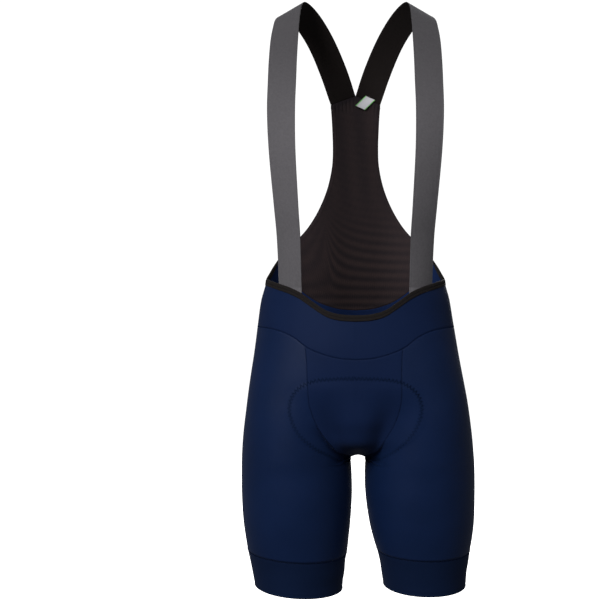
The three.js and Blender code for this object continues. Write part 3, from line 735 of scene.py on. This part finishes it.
# %% The straps
# By station: x, y and z of the middle line, the width's turn and lift in degrees, and the crown.
STRAP = read_table(
    [0, 96.8, -58, -463, 34, 0, 3.2], [1, 96.8, -69, -427, 36, 0, 3.4], [2, 97.6, -80.5, -358, 34, 0, 1.8],
    [3, 100.4, -90, -310, 31, 0, 1.2], [4, 105.3, -98, -231, 22, 0, 0.8], [5, 106.6, -97, -174, 14, 0, 0.6],
    [6, 105.6, -88, -129.5, 11, 0, 0.5], [7, 105, -75, -97, 10, 3, 0.5], [8, 104, -58, -66, 10, 7, 0.5],
    [9, 102.6, -39, -40.5, 12, 15, 0.5], [10, 100, -18, -18.5, 14, 22, 0.5], [11, 94, 7, -7, 18, 28, 0.5],
    [12, 82.5, 31, -10, 21, 29, 0.5], [13, 67.5, 52, -25, 21, 26, 0.5], [14, 50.8, 69, -52, 17, 22.5, 0.4],
    [15, 33.5, 84, -91.5, 6, 21.5, 0.3], [16, 19.6, 94.5, -131.5, -9, 22.5, 0])
STRAP_WIDTH, STRAP_THICKNESS, STRAP_DEPTH, LAST_STATION, STATION_STEP = 42, 1.3, 3.0, 16, 0.05
BORDER = (0.25, 0.93, 0.03), (-0.25, 0.86, 0.03)  # a ridge and a groove, in shares of the half width


def tucked(x, z):
    """Forward place of a strap's tail: STRAP_DEPTH inside the cloth at that width and height."""
    turn = turn_at(x, z)
    return (skin(1, turn, z) - outward(1, turn, z) * STRAP_DEPTH)[..., 1]


TAIL_STEP = float(tucked(STRAP(1)[0], STRAP(1)[2]) - STRAP(1)[1])


def strap_middle(station):
    """The middle line. The tail lies inside the cloth up to station 1; by station 2 the strap is free,
    and what its table lacks of the tail's place has faded out."""
    x, y, z = STRAP(station)[:3]
    free = y + TAIL_STEP * (1 - ease(station - 1))
    return np.stack([x, np.where(station < 1, tucked(x, z), free), z], axis=-1)


def strap_surface(side, station, share):
    """Points and outward directions of a strap's face: across is the width's direction, made square to
    the walk; the crown falls with the square of the share of the half width."""
    ahead = strap_middle(np.minimum(station + STATION_STEP, LAST_STATION))
    along = unit(ahead - strap_middle(np.maximum(station - STATION_STEP, 0)))
    yaw, slope, bow = STRAP(station)[3:]
    yaw, slope = np.radians(yaw), np.radians(slope)
    across = np.stack([-np.cos(yaw) * np.cos(slope), -np.sin(yaw) * np.cos(slope), np.sin(slope)], axis=-1)
    across = unit(across - along * np.sum(across * along, axis=-1, keepdims=True))
    out = np.cross(along, across)
    point = strap_middle(station) + across * (share * STRAP_WIDTH / 2)[..., None]
    point = point - out * (bow * share**2)[..., None]
    direction = unit(out + across * (share * 4 * bow / STRAP_WIDTH)[..., None])
    mirror = np.array([side, 1, 1])
    return point * mirror, direction * mirror


station, share = np.meshgrid(np.linspace(0, LAST_STATION, 420), np.linspace(-1, 1, 43), indexing="ij")
for side, name in SIDES:
    points, facing = strap_surface(side, station, share)
    points = points + facing * profile(np.abs(share), BORDER)[..., None]
    strap = sheet_of_cloth(
        f"strap_{name}_elastic", points, STRAP_THICKNESS, facing, [strap_face, strap_back], inner=1)
    dress(strap, f"strap_{name}")

# %% [markdown]
# The net back narrows from the yoke up the spine to the two straps. Its columns start at the yoke's seam
# and its top row follows the straps' ends. Its long sides are turned over and stitched, so they stand a
# little proud.

# %% The net back
NET_THICKNESS, EVEN_FROM, GATHERED_FROM = 0.8, 0.4, 0.93  # the last two are shares of the climb
TURNED_EDGE = (0.6, 1.5, 2.0), (-0.4, 5.0, 1.0)  # a ridge and a groove, from the edge inwards
PLEATS, PLEAT_RISE, PLEAT_LIMIT = 13, 0.8, 0.7
feet = np.linspace(-(1 - HORN_TURN), 1 - HORN_TURN, 121)
side, foot_turn = across_back(feet)
share = np.abs(np.linspace(-1, 1, len(feet)))
climb = np.linspace(0, 1, 150)[:, None]
foot_z = MESH_SEAM(foot_turn)[0]
foot_x = skin(1, foot_turn, foot_z)[..., 0]
top = strap_surface(1, np.full(share.shape, float(LAST_STATION)), 1 - 2 * share)[0]
top[share == 0, 0] = 0
z = mix(foot_z[None, :], top[None, :, 2], climb)
even = mix((foot_x / MESH_EDGE(foot_z)[0])[None, :], share[None, :], np.minimum(1, climb / EVEN_FROM))
x = even * MESH_EDGE(z)[0]
turn = 1 - np.arcsin(np.clip(x / BODY(z)[1], 0, 1)) / np.pi
turn[0] = foot_turn
side = np.broadcast_to(side, z.shape)
net_points, net_facing = skin(side, turn, z), outward(side, turn, z)
net_points[-1] = top
net_points[-1, :, 0] *= side[-1]
net_facing[-1] = net_facing[-2]
last = ease((climb - GATHERED_FROM) / (1 - GATHERED_FROM))
rest = net_points[-1] - skin(side[-1], turn[-1], z[-1])
net_points[:-1] += rest[None] * last[:-1, :, None]
folded_edge = profile((1 - share[None, :]) * MESH_EDGE(z)[0], TURNED_EDGE)
pleats = PLEAT_RISE * np.sin(PLEATS * share[None, :] * np.pi) * ease((climb - GATHERED_FROM) / 0.05)
pleats = np.clip(pleats * (1 - climb) / 0.03, -PLEAT_LIMIT, PLEAT_LIMIT) * (climb < 0.999)
net_points = net_points + net_facing * (folded_edge + pleats)[..., None]
back_mesh = sheet_of_cloth("back_mesh_net", net_points, NET_THICKNESS, net_facing, [mesh_net])


BAND_PITCH, BAND_BEND, BEND_REACH, BEND_START, BEND_RISE = 12.5, 90, 14, -450, 130


def beat_bands(x, z):
    """Where the two layers of net beat: a sine of the height, less a term that grows beside a line left
    of the middle, so that flat bands bend up there. They fade at the top into faint upright streaks."""
    beside = x + 42 + 0.12 * (z + 400)
    bend = BAND_BEND * ease((z - BEND_START) / BEND_RISE)
    phase = z / BAND_PITCH - bend / (np.maximum(beside, -0.25 * beside) + BEND_REACH)
    fade = 0.10 + 0.90 * ease((-290 - z) / 110)
    sideways = 0.35 + 0.65 * ease((beside + 8) / 16) * hump(np.maximum(x - 20, 0), 60)
    low_down = ease((-415 - z) / 30)
    streaks = 0.12 * np.sin(x / 5.0 + z / 60) * ease((z + 330) / 60)
    below_top = np.interp(np.abs(x), *top[share.argmin():, ::2].T) - z
    gathered = -0.5 * hump(below_top - 3, 4)
    strength = fade * np.maximum(sideways, 0.75 * low_down)
    bands = 0.36 + 0.42 * strength * np.sin(2 * np.pi * phase)
    return np.clip(bands + streaks + gathered + 0.16 * strength, 0, 1)


net_vertices = np.empty(len(back_mesh.data.vertices) * 3)
back_mesh.data.vertices.foreach_get("co", net_vertices)
net_x, net_z = net_vertices[0::3] / MM, net_vertices[2::3] / MM
back_mesh.data.attributes.new("bands", "FLOAT", "POINT").data.foreach_set("value", beat_bands(net_x, net_z))
dress(back_mesh, "back_mesh")

# %% [markdown]
# The label is a short woven tape, sewn over the join of net and straps a little askew, and left bare.
# The green selvedge on its long edges is a material of its own on the faces there.

# %% The label
# Its middle, its width and its length.
LABEL_AT, LABEL_ACROSS, LABEL_ALONG = np.array([[15.5, 90.2, -136], [15.0, 0, -6.7], [15.8, 0, 15.4]])
LABEL_COLUMNS, LABEL_THICKNESS, GREEN_FROM = 24, 0.6, 0.4
across, up = np.meshgrid(np.linspace(-0.5, 0.5, LABEL_COLUMNS + 1), np.linspace(-0.5, 0.5, 33))
lift = 0.5 * np.cos(np.pi * up) + 0.15 * np.sin(3 * np.pi * across)
label_points = LABEL_AT + across[..., None] * LABEL_ACROSS + up[..., None] * LABEL_ALONG
label_points[..., 1] -= lift
facing = np.broadcast_to([0.0, -1.0, 0.0], label_points.shape)
label = sheet_of_cloth("label_tape", label_points, LABEL_THICKNESS, facing, [label_tape, label_edge])
green = (np.abs(across[:-1, :-1] + 0.5 / LABEL_COLUMNS) > GREEN_FROM).ravel().astype(np.int32)
label.data.polygons.foreach_set("material_index", green)
dress(label, "label")

# %% [markdown]
# Thread makes a seam read as a seam. On stretch cloth it zigzags, so that it can give: narrow over the
# seams, wide round the pad. Each run is one thin tube from hole to hole, on one side and the other.

# %% A zigzag of thread
def walk(points, out, step):
    """Points at even steps along a path, with the outward and the sideways direction at each."""
    length = np.concatenate([[0], np.cumsum(np.linalg.norm(np.diff(points, axis=0), axis=1))])
    at = np.linspace(0, length[-1], max(int(round(length[-1] / step)), 4) + 1)
    place, normal = (
        np.stack([np.interp(at, length, row) for row in rows.T], axis=1) for rows in (points, out))
    normal = unit(normal)
    return place, normal, unit(np.cross(unit(np.gradient(place, axis=0)), normal))


def zigzag(points, out, half_width, pitch, lift=0.25, sink=0.3):
    """A thread's path: at every quarter of a pitch it lies at a hole, over the middle, at the other
    hole, over the middle. Holes are sink below the cloth's face and the middles lift above it."""
    place, normal, sideways = walk(points, out, pitch / 4)
    phase = np.arange(len(place)) % 4
    swing = np.array([1.0, 0.0, -1.0, 0.0])[phase][:, None] * half_width
    height = np.array([-sink, lift, -sink, lift])[phase][:, None]
    return place + sideways * swing + normal * height, normal


def tube(path, out, radius, sides=5):
    """Points and faces of a closed tube round a path: a ring across it at each place, and a cap at both
    ends. The radius is one number, or one for each place."""
    along = unit(np.gradient(path, axis=0))
    across = unit(np.cross(along, out))
    upright = np.cross(across, along)
    angle = np.linspace(0, 2 * np.pi, sides, endpoint=False)
    ring = np.cos(angle)[None, :, None] * across[:, None] + np.sin(angle)[None, :, None] * upright[:, None]
    points = (path[:, None] + np.reshape(radius, (-1, 1, 1)) * ring).reshape(-1, 3)
    row, column = np.arange(len(path) - 1)[:, None] * sides, np.arange(sides)
    start, following = (row + column).ravel(), (row + (column + 1) % sides).ravel()
    faces = np.stack([start, following, following + sides, start + sides], axis=1).tolist()
    caps = [list(range(sides))[::-1], list(range(len(points) - sides, len(points)))]
    return points, faces + caps


def stitching(name, runs, radius, material):
    """One piece from runs of thread, each a path and its outward directions. The radius is a number, or
    a function of the path."""
    points, faces, count = [], [], 0
    for path, out in runs:
        some_points, some_faces = tube(path, out, radius(path) if callable(radius) else radius)
        points.append(some_points)
        faces += [[k + count for k in face] for face in some_faces]
        count += len(some_points)
    piece = mesh_object(name, np.concatenate(points), faces)
    piece.data.materials.append(material)
    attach(piece, ROOT)
    print(f"{name}: {len(runs)} runs, {count} points")


# %% [markdown]
# The runs follow the seam tables, on the relief that the panels have. The pad's outline goes over the
# front, between the legs and up the seat, so its path passes the inner leg, where a turn of 0 and a turn
# of 1 are the same place.

# %% Sew the panels
SEAM_RADIUS, PAD_RADII, BINDING_RADIUS, NET_RADIUS = 0.22, (0.34, 0.6), 0.24, 0.28


def seam(side, turn, level, half_width=1.5, pitch=2.2, **heights):
    return zigzag(*on_cloth(side, turn, level), half_width, pitch, **heights)


def smooth_seam(side, turn, level, half_width, pitch, raised=0.0):
    """A seam where the cloth has no relief, raised millimetres above it."""
    return zigzag(*raised_skin(side, turn, level, raised), half_width, pitch)


side, turn = across_body(np.linspace(-1, 1, 1200))
rise_level = CROTCH_Z + 1 + (CORNER_Z - CROTCH_Z - 1) * np.linspace(0, 1, 300) ** 1.3
back_level = np.linspace(CROTCH_Z + 2, yoke_seam(1.0), 260)
side_level = np.linspace(yoke_seam(0.5), under_trim(0.5), 60)
runs = [seam(side, turn, yoke_seam(turn)), seam(1, np.ones(260), back_level)]
for side, _ in SIDES:
    runs.append(seam(side, centre_turn(side, rise_level), rise_level))
    runs.append(seam(side, np.full(60, 0.5), side_level))
stitching("panel_stitching", runs, SEAM_RADIUS, thread)

for side, name in SIDES:
    turn = np.linspace(0, 1, 600)
    level = hem(side, turn) + BAND_HEIGHT
    band_run = smooth_seam(side, turn, level, 1.6, 2.4)
    inseam = smooth_seam(side, np.zeros(200), np.linspace(float(level[0]), CROTCH_Z - 12, 200), 1.5, 2.2)
    stitching(f"leg_stitching_{name}", [band_run, inseam], SEAM_RADIUS, thread)

# %% Stitch the pad's outline
PAD_TURN = read_table(
    [0, 0.0, PAD_TOP], [0.5, 0.062, -557.5], [1, 0.125, -560.5], [1.5, 0.175, -568.5], [2, 0.212, -581],
    [2.5, 0.235, -598], [3, 0.238, -616], [3.5, 0.222, -634], [4, 0.18, -651], [4.5, 0.13, -663],
    [5, 0.08, -673], [5.5, 0.03, -681], [6, -0.03, -684], [6.5, -0.08, -679], [7, -0.12, -666],
    [7.5, -0.155, -645], [8, -0.175, -620], [8.5, -0.17, -595], [9, -0.145, -573], [9.5, -0.09, -558],
    [10, 0, -552])
PAD_SHIFT = 0.007  # the front of the outline lies a little to the wearer's right, as the centre panel does
half = np.linspace(0, 10, 900)
wrapped, level = PAD_TURN(half)
on_back = wrapped < 0
pad_runs = []
for one_side, _ in SIDES:
    signed = one_side * wrapped - PAD_SHIFT * ease((level + 690) / 60) * (half < 5.5)
    side = np.where(on_back, one_side, np.where(signed < 0, -1, 1))
    turn = np.where(on_back, 1 + wrapped, np.abs(signed))
    turn[-1] = 1.0
    pad_runs.append(seam(side, turn, level, half_width=3.3, pitch=5.4, lift=0.4))


def pad_radius(path):
    """The thread is thickest along the outline's top and thins towards the crotch, where it sinks in."""
    return mix(*PAD_RADII, ease((path[:, 2] + 650) / 75))


stitching("pad_stitching", pad_runs, pad_radius, pad_thread)

# %% [markdown]
# The binding and the net are sewn with dark thread: in the binding's groove, along each turned edge of
# the net, where the net meets the yoke, and twice across the gathered end where the straps take over.

# %% Sew the binding and the net
SHORT_OF_HORN, EDGE_COLUMN = 0.004, 6
side, turn = across_body(np.linspace(-HORN_TURN + SHORT_OF_HORN, HORN_TURN - SHORT_OF_HORN, 1100))
groove = upper_edge(turn) - GROOVE * (upper_edge(turn) - under_trim(turn)) / TRIM_HEIGHT
binding_run = smooth_seam(side, turn, groove, 0.9, 2.0, raised=0.65)
side, turn = across_back(np.linspace(feet[0] + SHORT_OF_HORN, feet[-1] - SHORT_OF_HORN, 700))
foot_run = seam(side, turn, MESH_SEAM(turn)[0], half_width=1.6)
stitching("binding_stitching", [binding_run, foot_run], BINDING_RADIUS, dark_thread)

net_runs = [
    zigzag(net_points[2:-4, k], net_facing[2:-4, k], 0.8, 2.2) for k in (EDGE_COLUMN, -1 - EDGE_COLUMN)]
for row, half_width, pitch in (-5, 2.2, 2.6), (-9, 1.2, 2.4):
    net_runs.append(zigzag(net_points[row], net_facing[row], half_width, pitch, lift=0.5))
stitching("net_stitching", net_runs, NET_RADIUS, dark_thread)

# %% [markdown]
# The picture was taken square on from a long way off. The camera stands two metres in front, near the
# height of the hips, with a long lens, and its frame is shifted, as the garment stands right of the middle.

# %% The camera
camera = bpy.data.objects.new("camera", bpy.data.cameras.new("camera"))
camera.data.lens, camera.data.sensor_width = 80, 36
camera.data.shift_x = -0.0925
camera.location = (0, -2.0, -0.445)
camera.rotation_euler = (np.pi / 2, 0, 0)
bpy.context.collection.objects.link(camera)
bpy.context.scene.camera = camera
print("camera at", tuple(camera.location))

# %% [markdown]
# Dark cloth needs broad, soft light to show its form: a large key light on the viewer's left, a weaker
# one that fills on the right, and a third behind. The pale floor lies below the hems, since the garment
# is held by its wearer's shoulders and touches nothing.

# %% The studio
MIDDLE = Vector((0, 0, -0.45))  # of the garment
AMBIENT, SEEN_WHITE = 0.15, 1.1  # the world's light on the cloth, and the white that the camera sees


def softbox(name, place, size, power):
    """A square area light at place, turned so that it looks at the garment's middle."""
    light = bpy.data.lights.new(name, "AREA")
    light.shape, light.size, light.energy = "SQUARE", size, power
    lamp = bpy.data.objects.new(name, light)
    bpy.context.collection.objects.link(lamp)
    lamp.location = place
    lamp.rotation_euler = (MIDDLE - lamp.location).to_track_quat("-Z", "Y").to_euler()


softbox("key", (-1.4, -2.4, 1.1), 1.2, 97)
softbox("fill", (1.4, -2.2, 0.9), 1.2, 14)
softbox("back", (0.5, 3.0, 0.7), 1.6, 90)

world = bpy.data.worlds.new("studio")
world.use_nodes = True
air = world.node_tree
air.nodes["Background"].inputs["Color"].default_value = (1, 1, 1, 1)
seen_by_camera = node(air, "ShaderNodeLightPath").outputs["Is Camera Ray"]
seen = blend_values(air, "MULTIPLY_ADD", seen_by_camera, SEEN_WHITE - AMBIENT, AMBIENT)
air.links.new(seen, air.nodes["Background"].inputs["Strength"])
bpy.context.scene.world = world
bpy.context.scene.view_settings.view_transform = "Standard"

FLOOR_Z, FLOOR_REACH, FLOOR_LINES = -1.05, 6, 25
span = np.linspace(-FLOOR_REACH, FLOOR_REACH, FLOOR_LINES)
floor_points = np.stack(np.meshgrid(span, span, FLOOR_Z), axis=-1) / MM
floor = mesh_object("floor", floor_points, grid_faces(FLOOR_LINES, FLOOR_LINES))
floor_paint, _, sockets = new_material("floor_paint", 0.9, 0.0, (1, 1, 1), 0.5)
sockets["Base Color"].default_value = (0.85, 0.85, 0.85, 1)
sockets["Emission Color"].default_value = (1, 1, 1, 1)
sockets["Emission Strength"].default_value = 1.0
floor.data.materials.append(floor_paint)
floor.visible_diffuse = floor.visible_glossy = False  # it shows white, and sends no light up at the cloth
print("lights and floor ready")

# %% [markdown]
# Last, the view layer is brought up to date.

# %% Finish
bpy.context.view_layer.update()
